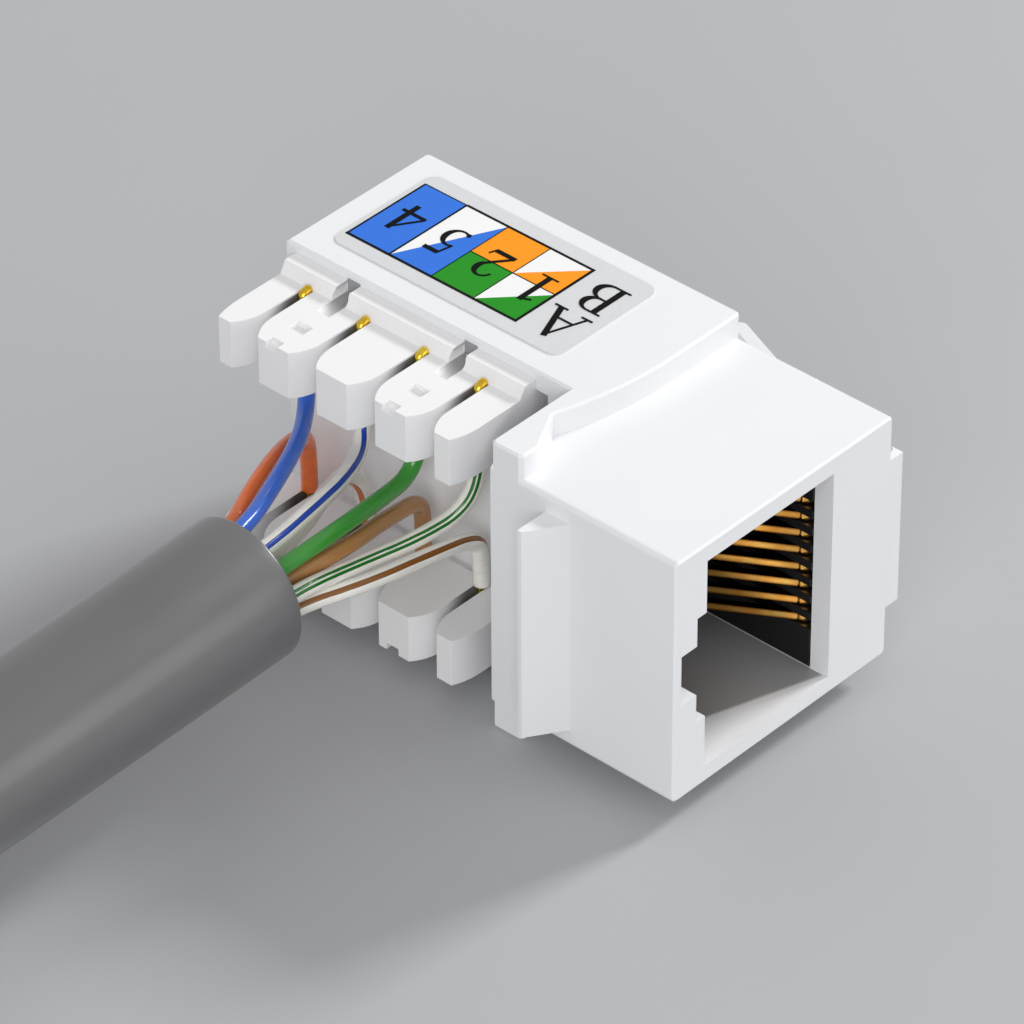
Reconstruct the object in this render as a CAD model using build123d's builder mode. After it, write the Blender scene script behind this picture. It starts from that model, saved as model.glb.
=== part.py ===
from build123d import *

import math
import os

# Keystone jack with a modular port at the front, two rows of punch-down teeth on one side and a
# four-pair cable laid into them. Millimetres. The origin is the middle of the port's face. The port
# faces -Y, the teeth and the cable point to -X, and the jack lies on its side on a table with +Z up.

# Front box and flange
box_width = 15.9
box_height = 14.5
cheek_step = 1.42
box_edge = 0.3
flange_front = 9.78
flange_rear = 11.78
near_cheek = 1.25
notch_depth_y = 1.25
notch_x = -4.28
shoulder_x = 3.0
notch_round = 0.25
corner_break = 0.2
edge_break = 0.12

# Rear shell
shell_rear = 30.58
shell_near_x = -2.26
shell_far_x = 8.05
shell_skin = 1.12
shell_end_wall = 0.6
shell_far_wall = 1.2
partition_rear = 13.2
fit_gap = 0.05

# Plug port
port_left = 2.25
port_width = 9.25
port_height = 12.4
port_depth = 12.0
first_notch_width = 6.26
first_notch_out = 0.66
second_notch_width = 2.94
second_notch_out = 1.78
notch_depth = 9.0

# Fixed hook on the near side and the sprung latch on the far side
hook_out = 2.0
hook_ramp = 1.56
panel_slot = 1.54
hook_end_gap = 1.0
hook_nose = 0.25
latch_width = 9.0
latch_thickness = 0.8
latch_root_y = 1.0
latch_root_gap = 0.1
latch_seat_gap = 0.05
latch_catch_y = 7.2
latch_catch_x = 10.85
latch_foot_x = 9.3
latch_tab_y = 12.8
latch_tab_x = 11.6
latch_ramp_slope = 27.0

# Punch-down block
teeth_inset = 1.17
tooth_height = 2.75
tooth_root_x = -3.42
tooth_taper_x = -6.36
tooth_tip_x = -8.07
tooth_taper = 0.65
rear_end_taper = 0.25
front_end_taper = 0.39
slot_pitch = 3.9
slot_count = 4
first_slot_y = 27.96
slot_width = 0.58
block_rear = 29.95
block_front = 13.96
shoulder_out = 0.8
shoulder_rise = 0.67
field_floor_x = -2.6
field_edge = 0.35
block_back_x = -1.15
window_width = 0.87
dish_length = 1.1
dish_depth = 0.25
dimple_x = -6.1
dimple_size = (0.77, 0.95, 0.3)
tip_groove = (0.5, 0.8, 0.4)
tip_groove_shift = 0.1
rail_width = 0.6

# Punch-down blades and wire ends
blade_thickness = 0.35
blade_width = 2.0
blade_tip_x = -5.2
blade_root_x = -1.2
blade_gap = 0.05
blade_pin_width = 0.7
blade_corner = 0.35
blade_mouth = (1.1, 0.6)
conductor_diameter = 0.5
conductor_x = -3.75
conductor_stand = 0.45
fork_gap = 0.01

# Circuit board
board_thickness = 1.0
board_near_x = -0.75
board_margin = 0.4
board_corner = 0.5
board_pin_edge = 1.0
board_pin_out = 0.3
board_hole_gap = 0.06
hole_sides = 8

# Contact insert and contact wires
contact_count = 8
contact_pitch = 1.03
contact_size = 0.4
contact_channel = 0.56
contact_hinge_x = 3.8
contact_hinge_y = 2.26
contact_bend = 0.6
contact_slope = 31.0
contact_length = 6.9
contact_tail = 1.3
contact_tail_slope = 8.0
contact_seat_gap = 0.05
contact_row_gap = 1.7
insert_front = 1.2
insert_near_x = 3.5
insert_far_x = 6.45
insert_rear = 13.6
insert_wall = 0.9
pocket_far_x = 6.5

# Wiring label on the upper side
label_length = 15.1
label_width = 7.6
label_centre = (2.95, 21.45)
label_corner = 0.7
label_thickness = 0.08

# Cable
jacket_diameter = 7.8
jacket_wall = 0.75
wire_diameter = 1.05
wire_sides = 6
core_sides = 8
wire_inside = 1.5
wire_straight = 0.9
wire_end_gap = 0.1

# Laps: how far a cut runs past the face it leaves, and how deep a boss is rooted in its carrier
over = 1.0
root = 0.2

# Worked out from the sizes above
height = box_height + 2 * cheek_step
top_z = height / 2
table_z = -height / 2
teeth_rows_out = height / 2 - teeth_inset
near_x = -box_width / 2
far_x = box_width / 2
port_x0 = near_x + port_left
port_x1 = port_x0 + port_width
port_z0 = -port_height / 2
port_z1 = port_height / 2
slots_y = [first_slot_y - slot_pitch * i for i in range(slot_count)]
row_sides = {"upper": 1, "lower": -1}
contacts_z = [contact_pitch * (i - (contact_count - 1) / 2) for i in range(contact_count)]
board_far_x = board_near_x + board_thickness
board_y0 = partition_rear + board_margin
board_y1 = shell_rear - shell_end_wall - board_margin
blade_z = tooth_height / 2


def block(x, y, z, mode=Mode.ADD):
    """Adds or cuts a box between two limits along each of X, Y and Z in the part being built."""
    middle = ((x[0] + x[1]) / 2, (y[0] + y[1]) / 2, (z[0] + z[1]) / 2)
    with Locations(middle):
        Box(x[1] - x[0], y[1] - y[0], z[1] - z[0], mode=mode)


def row_span(side, outer, inner):
    """Limits along Z of something that lies between two distances from the middle plane."""
    ends = (side * outer, side * inner)
    return (min(ends), max(ends))


def bend_radii(points):
    """The radius at each inner point: 0.45 of the shorter run over the tangent of half the turn."""
    radii = []
    for before, here, after in zip(points, points[1:], points[2:]):
        run_in = here - before
        run_out = after - here
        half_turn = math.radians(run_in.get_angle(run_out)) / 2
        radii.append(0.45 * min(run_in.length, run_out.length) / math.tan(half_turn))
    return radii


def strip(*points, thickness):
    """The outline of a strip of even thickness, with round ends, along a line of points."""
    with BuildLine() as outline:
        Polyline(*points)
        offset(amount=thickness / 2, side=Side.BOTH)
    return outline.edges()


os.makedirs("parts", exist_ok=True)


def save(builder, name):
    """Labels a finished piece and writes it to its own file."""
    builder.part.label = name
    export_step(builder.part, f"parts/{name}.step")


# Housing: front box, flange, rear shell, port, fixed hook and the latch's root
latch_hinge_x = far_x + latch_root_gap + latch_thickness / 2 + latch_seat_gap
with BuildPart() as housing:
    with BuildSketch(Plane.XZ):
        RectangleRounded(box_width, box_height, box_edge)
    extrude(amount=-flange_rear)
    chamfer(housing.faces().sort_by(Axis.Y)[0].edges(), edge_break)
    with BuildSketch(Plane.XY.offset(table_z)):
        with BuildLine():
            Line((near_x, flange_rear), (near_x, flange_front))
            Line((near_x, flange_front), (near_x + near_cheek, flange_front))
            Line((near_x + near_cheek, flange_front), (notch_x, flange_front + notch_depth_y))
            TangentArc(
                (shoulder_x, flange_front),
                (notch_x, flange_front + notch_depth_y),
                tangent=(-1, 0),
            )
            Line((shoulder_x, flange_front), (shell_far_x, flange_front))
            Line((shell_far_x, flange_front), (shell_far_x, shell_rear))
            Line((shell_far_x, shell_rear), (shell_near_x, shell_rear))
            Line((shell_near_x, shell_rear), (shell_near_x, flange_rear))
            Line((shell_near_x, flange_rear), (near_x, flange_rear))
        make_face()
        chamfer(vertices().group_by(Axis.X)[0], corner_break)
        fillet(vertices().sort_by_distance((notch_x, flange_front + notch_depth_y))[0], notch_round)
        chamfer(vertices().group_by(Axis.X)[-1], corner_break)
    extrude(amount=height)
    chamfer(housing.faces().filter_by(Axis.Z).group_by(Axis.Z)[-1].edges(), edge_break)
    chamfer(housing.faces().filter_by(Axis.Z).group_by(Axis.Z)[0].edges(), edge_break)
    block(
        (shell_near_x - over, shell_far_x - shell_far_wall),
        (partition_rear, shell_rear - shell_end_wall),
        (table_z + shell_skin, top_z - shell_skin),
        Mode.SUBTRACT,
    )
    with BuildSketch(Plane.XZ):
        with Locations(((port_x0 + port_x1) / 2, 0)):
            Rectangle(port_width, port_height)
    extrude(amount=-port_depth, mode=Mode.SUBTRACT)
    with BuildSketch(Plane.XZ):
        with Locations((port_x0 - first_notch_out / 2, 0)):
            Rectangle(first_notch_out, first_notch_width)
        with Locations((port_x0 - second_notch_out / 2, 0)):
            Rectangle(second_notch_out, second_notch_width)
    extrude(amount=-notch_depth, mode=Mode.SUBTRACT)
    block(
        (port_x1 - over, pocket_far_x),
        (insert_front - fit_gap, partition_rear + over),
        (port_z0, port_z1),
        Mode.SUBTRACT,
    )
    with BuildSketch(Plane.XY.offset(hook_end_gap - box_height / 2)):
        hook_back = flange_front - panel_slot
        with BuildLine():
            Polyline(
                (near_x + root, hook_back),
                (near_x - hook_out, hook_back),
                (near_x - hook_out, hook_back - hook_nose),
                (near_x, hook_back - hook_ramp),
                (near_x + root, hook_back - hook_ramp),
                close=True,
            )
        make_face()
    extrude(amount=box_height - 2 * hook_end_gap)
    block(
        (far_x - root, latch_hinge_x + latch_thickness / 2),
        (latch_root_gap, latch_root_y),
        (-latch_width / 2, latch_width / 2),
    )
    with BuildSketch(Plane.XY.offset(-latch_width / 2)):
        with Locations((latch_hinge_x, latch_root_y)):
            Circle(latch_thickness / 2 + latch_seat_gap)
    extrude(amount=latch_width, mode=Mode.SUBTRACT)
save(housing, "jack_housing")

# Sprung latch: a round root in its seat, a rising arm, a catch that faces back and a finger tab
ramp_drop = latch_catch_x - latch_foot_x
with BuildPart() as latch:
    with BuildSketch(Plane.XY.offset(-latch_width / 2)):
        with Locations((latch_hinge_x, latch_root_y)):
            Circle(latch_thickness / 2)
        make_face(
            strip(
                (latch_hinge_x, latch_root_y),
                (latch_foot_x, latch_catch_y),
                (latch_tab_x, latch_tab_y),
                thickness=latch_thickness,
            )
        )
        with BuildLine():
            Polyline(
                (latch_foot_x, latch_catch_y),
                (latch_catch_x, latch_catch_y),
                (latch_foot_x, latch_catch_y - ramp_drop / math.tan(math.radians(latch_ramp_slope))),
                close=True,
            )
        make_face()
    extrude(amount=latch_width)
save(latch, "latch_arm")

# Punch-down block: a base with a field between two rows of teeth, and a stepped shoulder above each
field_half = teeth_rows_out - tooth_height + field_edge
with BuildPart() as idc:
    block((tooth_root_x, block_back_x), (block_front, block_rear), (-teeth_rows_out, teeth_rows_out))
    block(
        (tooth_root_x - over, field_floor_x),
        (block_front - over, block_rear + over),
        (-field_half, field_half),
        Mode.SUBTRACT,
    )
    with BuildSketch(Plane.XZ.offset(-block_rear)):
        for side in row_sides.values():
            inner = side * (teeth_rows_out - root)
            outer = side * (teeth_rows_out + shoulder_rise)
            with BuildLine():
                Polyline(
                    (shell_near_x, inner),
                    (shell_near_x, outer),
                    (shell_near_x - shoulder_out, outer),
                    (tooth_root_x, side * teeth_rows_out),
                    (tooth_root_x, inner),
                    close=True,
                )
            make_face()
    extrude(amount=block_rear - block_front)
    tooth_edges = [block_rear] + [y + s * slot_width / 2 for y in slots_y for s in (1, -1)] + [block_front]
    for side in row_sides.values():
        low, high = row_span(side, teeth_rows_out, teeth_rows_out - tooth_height)
        with BuildSketch(Plane.XY.offset(low)):
            for tooth in range(slot_count + 1):
                rear, front = tooth_edges[2 * tooth], tooth_edges[2 * tooth + 1]
                rear_tip = rear - (rear_end_taper if tooth == 0 else tooth_taper)
                front_tip = front + (front_end_taper if tooth == slot_count else tooth_taper)
                with BuildLine():
                    Polyline(
                        (tooth_taper_x, rear),
                        (tooth_root_x + root, rear),
                        (tooth_root_x + root, front),
                        (tooth_taper_x, front),
                    )
                    TangentArc((tooth_taper_x, front), (tooth_tip_x, front_tip), tangent=(-1, 0))
                    Line((tooth_tip_x, front_tip), (tooth_tip_x, rear_tip))
                    TangentArc((tooth_taper_x, rear), (tooth_tip_x, rear_tip), tangent=(-1, 0))
                make_face()
        extrude(amount=high - low)
    for side in row_sides.values():
        for tooth in (1, 3):
            middle = (slots_y[tooth - 1] + slots_y[tooth]) / 2
            block(
                (tooth_root_x - over, shell_near_x),
                (middle - window_width / 2, middle + window_width / 2),
                row_span(side, teeth_rows_out + shoulder_rise + over, teeth_rows_out),
                Mode.SUBTRACT,
            )
            dish_radius = ((window_width / 2) ** 2 + dish_depth**2) / (2 * dish_depth)
            with BuildSketch(Plane.YZ.offset(shell_near_x)):
                with Locations((middle, side * (teeth_rows_out + dish_radius - dish_depth))):
                    Circle(dish_radius)
            extrude(amount=tooth_root_x - dish_length - shell_near_x, mode=Mode.SUBTRACT)
            block(
                (dimple_x - dimple_size[0] / 2, dimple_x + dimple_size[0] / 2),
                (middle - dimple_size[1] / 2, middle + dimple_size[1] / 2),
                row_span(side, teeth_rows_out + over, teeth_rows_out - dimple_size[2]),
                Mode.SUBTRACT,
            )
            groove = middle + tip_groove_shift
            block(
                (tooth_tip_x - over, tooth_tip_x + tip_groove[0]),
                (groove - tip_groove[1] / 2, groove + tip_groove[1] / 2),
                row_span(side, teeth_rows_out + over, teeth_rows_out - tip_groove[2]),
                Mode.SUBTRACT,
            )
        for y in slots_y:
            pocket = blade_width / 2 + blade_gap
            middle = side * (teeth_rows_out - blade_z)
            pocket_depth = blade_thickness / 2 + blade_gap
            block(
                (blade_tip_x - blade_gap, block_back_x + over),
                (y - pocket, y + pocket),
                (middle - pocket_depth, middle + pocket_depth),
                Mode.SUBTRACT,
            )
        rail = teeth_rows_out - fit_gap
        rail_span = row_span(side, rail, rail - rail_width)
        block((block_back_x - root, board_near_x), (board_y0, board_y1), rail_span)
save(idc, "idc_block")

# Punch-down blades, one in each slot: a fork for the conductor and a pin through the board
blade_level = teeth_rows_out - blade_z
for row, side in row_sides.items():
    for index, y in enumerate(slots_y, start=1):
        with BuildPart() as blade:
            with BuildSketch(Plane.XY.offset(side * blade_level - blade_thickness / 2)):
                with Locations(((blade_tip_x + blade_root_x) / 2, y)):
                    Rectangle(blade_root_x - blade_tip_x, blade_width)
                chamfer(vertices().group_by(Axis.X)[0], blade_corner)
                pin_start = blade_root_x - root
                pin_end = board_far_x + board_pin_out
                with Locations(((pin_start + pin_end) / 2, y)):
                    Rectangle(pin_end - pin_start, blade_pin_width)
                fork = conductor_diameter / 2 + fork_gap
                throat_x = blade_tip_x + blade_mouth[1]
                with BuildLine():
                    Polyline(
                        (blade_tip_x, y + blade_mouth[0] / 2),
                        (throat_x, y + fork),
                        (conductor_x + fork, y + fork),
                        (conductor_x + fork, y - fork),
                        (throat_x, y - fork),
                        (blade_tip_x, y - blade_mouth[0] / 2),
                        close=True,
                    )
                make_face(mode=Mode.SUBTRACT)
            extrude(amount=blade_thickness)
        save(blade, f"idc_blade_{row}_{index}")

# Circuit board between the punch-down block and the shell
with BuildPart() as board:
    board_half = teeth_rows_out - fit_gap
    block((board_near_x, board_far_x), (board_y0, board_y1), row_span(1, board_half, -board_half))
    fillet(board.edges().filter_by(Axis.X), board_corner)
    with BuildSketch(Plane.YZ.offset(board_near_x)):
        for side in row_sides.values():
            for y in slots_y:
                pin_radius = math.hypot(blade_pin_width, blade_thickness) / 2
                with Locations((y, side * blade_level)):
                    RegularPolygon(pin_radius + board_hole_gap, hole_sides, major_radius=False)
        for index, z in enumerate(contacts_z):
            pin_radius = contact_size * math.sqrt(0.5)
            with Locations((board_y0 + board_pin_edge + contact_row_gap * (index % 2), z)):
                RegularPolygon(pin_radius + board_hole_gap, hole_sides, major_radius=False)
    extrude(amount=board_thickness, mode=Mode.SUBTRACT)
save(board, "circuit_board")

# Contact insert: a comb of ribs along the far side of the port and a wall across its back
with BuildPart() as insert:
    insert_span = (port_z0 + fit_gap, port_z1 - fit_gap)
    block((insert_near_x, insert_far_x), (insert_front, insert_rear), insert_span)
    block(
        (port_x0 + fit_gap, insert_near_x),
        (port_depth - fit_gap - insert_wall, port_depth - fit_gap),
        insert_span,
    )
    channel_floor = contact_hinge_x + 2 * contact_bend + contact_size / 2
    for z in contacts_z:
        block(
            (insert_near_x - over, channel_floor),
            (insert_front - over, insert_rear + over),
            (z - contact_channel / 2, z + contact_channel / 2),
            Mode.SUBTRACT,
        )
save(insert, "contact_insert")

# Contact wires: a fixed lead with a bend at the front, and the sprung finger that swings at its bend
lead_x = contact_hinge_x + 2 * contact_bend
finger_dir = (-math.sin(math.radians(contact_slope)), math.cos(math.radians(contact_slope)))
tail_dir = (-math.sin(math.radians(contact_tail_slope)), math.cos(math.radians(contact_tail_slope)))
knee = (
    contact_hinge_x + contact_length * finger_dir[0],
    contact_hinge_y + contact_length * finger_dir[1],
)
tail = (knee[0] + contact_tail * tail_dir[0], knee[1] + contact_tail * tail_dir[1])
for index, z in enumerate(contacts_z, start=1):
    pin_y = board_y0 + board_pin_edge + contact_row_gap * ((index - 1) % 2)
    with BuildPart() as lead:
        with BuildSketch(Plane.XY.offset(z - contact_size / 2)):
            half = contact_size / 2
            with Locations((contact_hinge_x + contact_bend, contact_hinge_y)):
                Circle(contact_bend + half)
                Circle(contact_bend - half, mode=Mode.SUBTRACT)
                with Locations((0, contact_bend)):
                    Rectangle(4 * contact_bend, 2 * contact_bend, mode=Mode.SUBTRACT)
            with Locations((lead_x, (contact_hinge_y + pin_y + half) / 2)):
                Rectangle(contact_size, pin_y + half - contact_hinge_y)
            pin_end = board_near_x - board_pin_out + contact_seat_gap
            with Locations(((lead_x + pin_end) / 2, pin_y)):
                Rectangle(lead_x - pin_end, contact_size)
            with Locations((contact_hinge_x, contact_hinge_y)):
                Circle(half + contact_seat_gap, mode=Mode.SUBTRACT)
        extrude(amount=contact_size)
    save(lead, f"contact_lead_{index}")
    with BuildPart() as finger:
        with BuildSketch(Plane.XY.offset(z - contact_size / 2)):
            make_face(strip((contact_hinge_x, contact_hinge_y), knee, tail, thickness=contact_size))
            with Locations(Location((*tail, 0), (0, 0, contact_tail_slope))):
                Rectangle(over, over, align=(Align.CENTER, Align.MIN), mode=Mode.SUBTRACT)
        extrude(amount=contact_size)
    save(finger, f"contact_spring_{index}")

# Wiring label film on the upper side of the shell
with BuildPart() as label:
    with BuildSketch(Plane.XY.offset(top_z)):
        with Locations(label_centre):
            RectangleRounded(label_width, label_length, label_corner)
    extrude(amount=label_thickness)
save(label, "wiring_label")

# Cable: the jacket and its core come in low from the side and sink to the table. The points' last
# number is their height above it
jacket_points = [
    (-15.8, 20.7, 8.5),
    (-36.0, 21.0, 7.55),
    (-61.0, 23.6, 4.55),
    (-84.0, 29.2, 3.95),
]
jacket_route = [Vector(x, y, table_z + above) for x, y, above in jacket_points]
radii = bend_radii(jacket_route)
print("cable_jacket radii", [round(radius) for radius in radii])
with BuildPart() as jacket:
    with BuildLine() as jacket_line:
        FilletPolyline(*jacket_route, radius=radii)
    mouth = Plane(origin=jacket_line.line @ 0, x_dir=(0, 1, 0), z_dir=-(jacket_line.line % 0))
    with BuildSketch(mouth):
        Circle(jacket_diameter / 2)
        Circle(jacket_diameter / 2 - jacket_wall, mode=Mode.SUBTRACT)
    sweep()
save(jacket, "cable_jacket")

core_plane = mouth.offset(-wire_inside)
core_route = [core_plane.origin] + jacket_route[1:]
with BuildPart() as core:
    with BuildLine() as core_line:
        FilletPolyline(*core_route, radius=radii)
    with BuildSketch(core_plane):
        RegularPolygon(jacket_diameter / 2 - jacket_wall - fit_gap, core_sides)
    sweep()
save(core, "cable_core")

# Insulated wires. Each leaves the core's end at the offsets listed first, across and up from the cable's
# axis, comes straight out of the jacket, passes the open points, whose last number is their height above
# the table, and turns up or down into its slot
wire_routes = {
    "upper": {
        1: ("blue", (0.9, 2.35), [(-11.0, 23.4, 10.7), (-7.2, 25.6, 10.2), (-4.9, 27.4, 9.9)]),
        2: ("white_blue", (-0.3, 2.3), [(-11.0, 21.3, 10.5), (-7.2, 22.5, 9.9), (-4.9, 23.6, 9.6)]),
        3: ("green", (-1.45, 1.7), [(-11.0, 19.2, 9.8), (-7.2, 19.75, 9.2), (-4.9, 20.1, 9.1)]),
        4: ("white_green", (-2.45, -0.3), [(-11.0, 17.95, 8.75), (-7.2, 17.5, 8.7), (-4.9, 16.7, 9.3)]),
    },
    "lower": {
        1: ("orange", (2.0, 1.5), [(-11.0, 25.0, 9.9), (-7.2, 27.0, 9.2), (-5.0, 27.9, 8.0)]),
        2: ("white_orange", (-0.2, 0.8), [(-11.0, 21.4, 8.9), (-7.2, 23.2, 8.6), (-5.0, 24.0, 7.8)]),
        3: ("brown", (-1.1, -0.2), [(-11.0, 18.8, 7.9), (-7.2, 19.7, 7.9), (-5.0, 20.1, 7.4)]),
        4: ("white_brown", (-1.9, -1.6), [(-11.0, 17.4, 7.4), (-7.2, 16.7, 7.5), (-5.0, 16.3, 7.2)]),
    },
}
for row, side in row_sides.items():
    inner_face = side * (teeth_rows_out - tooth_height - wire_end_gap)
    for index, (colour, (across, up), open_points) in wire_routes[row].items():
        y = slots_y[index - 1]
        open_route = [Vector(x, y, table_z + above) for x, y, above in open_points]
        turn_z = (open_route[-1].Z + inner_face) / 2
        route = [
            core_plane.from_local_coords((across, up, 0)),
            core_plane.from_local_coords((across, up, wire_inside + wire_straight)),
            *open_route,
            Vector(conductor_x, y, turn_z),
            Vector(conductor_x, y, inner_face),
        ]
        wire_radii = bend_radii(route)
        with BuildPart() as wire:
            with BuildLine() as wire_line:
                FilletPolyline(*route, radius=wire_radii)
            with BuildSketch(Plane(origin=wire_line.line @ 0, z_dir=wire_line.line % 0)) as section:
                RegularPolygon(wire_diameter / 2, wire_sides)
            sweep()
        swept = wire.part.volume / (section.sketch.area * wire_line.wire().length)
        print(f"wire_{colour} radii", [round(radius, 1) for radius in wire_radii], "share", round(swept, 3))
        save(wire, f"wire_{colour}")
        with BuildPart() as conductor:
            with BuildSketch(Plane.XY.offset(inner_face)):
                with Locations((conductor_x, y)):
                    RegularPolygon(conductor_diameter / 2, wire_sides)
            extrude(amount=side * (tooth_height + wire_end_gap + conductor_stand))
        save(conductor, f"conductor_{colour}")
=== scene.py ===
"""The looks of a keystone jack with the end of its four-pair cable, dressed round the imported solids.

Sizes and places in the classes are millimetres in the part's own frame: the origin is the middle of
the port's face, the port faces -Y, the cable leaves to -X and +Z is up. Meshes are in metres.
"""

from __future__ import annotations

import logging
import math
from collections.abc import Sequence
from dataclasses import dataclass, field
from enum import Enum

import bmesh
import bpy
import numpy as np
from mathutils import Matrix, Vector

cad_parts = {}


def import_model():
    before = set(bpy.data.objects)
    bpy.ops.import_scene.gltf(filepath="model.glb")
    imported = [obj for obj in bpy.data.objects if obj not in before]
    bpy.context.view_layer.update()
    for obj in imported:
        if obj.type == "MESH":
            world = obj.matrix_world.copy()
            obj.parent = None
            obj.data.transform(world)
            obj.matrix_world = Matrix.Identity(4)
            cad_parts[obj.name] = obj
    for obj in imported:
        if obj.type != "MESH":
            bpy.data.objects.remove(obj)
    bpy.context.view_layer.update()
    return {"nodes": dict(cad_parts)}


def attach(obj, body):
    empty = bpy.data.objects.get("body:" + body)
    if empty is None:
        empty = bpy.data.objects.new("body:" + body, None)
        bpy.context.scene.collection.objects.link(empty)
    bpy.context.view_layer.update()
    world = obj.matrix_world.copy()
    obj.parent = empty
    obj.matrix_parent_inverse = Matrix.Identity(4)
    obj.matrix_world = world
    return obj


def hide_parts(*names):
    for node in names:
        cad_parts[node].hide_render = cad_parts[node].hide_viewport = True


MM = 0.001
TABLE_Z = -8.67
FIRST_SLOT_Y = 27.96
SLOT_PITCH = 3.9
SLOTS_IN_ROW = 4
SLOTS_Y = tuple(FIRST_SLOT_Y - SLOT_PITCH * index for index in range(SLOTS_IN_ROW))
NOISE_MIDDLE = (0.3, 0.7)
CURVE_RESOLUTION = 40
CURVE_ORDER = 3
log = logging.getLogger("keystone_jack")

Colour = tuple[float, float, float]
Point = tuple[float, float, float]
Flat = tuple[float, float]
Prism = tuple[np.ndarray, list[list[int]]]


def srgb(red: int, green: int, blue: int) -> Colour:
    """Works out a linear colour by the standard display curve.

    Args:
        red: the display value of red, from 0 to 255.
        green: the display value of green.
        blue: the display value of blue.

    Returns:
        The linear colour.
    """
    shown = np.array([red, green, blue]) / 255
    linear = np.where(shown <= 0.04045, shown / 12.92, ((shown + 0.055) / 1.055) ** 2.4)
    return tuple(float(value) for value in linear)


def scaled(colour: Colour, factor: float) -> Colour:
    """A colour made darker or lighter by a factor, never over 1."""
    return tuple(min(1.0, channel * factor) for channel in colour)


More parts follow.
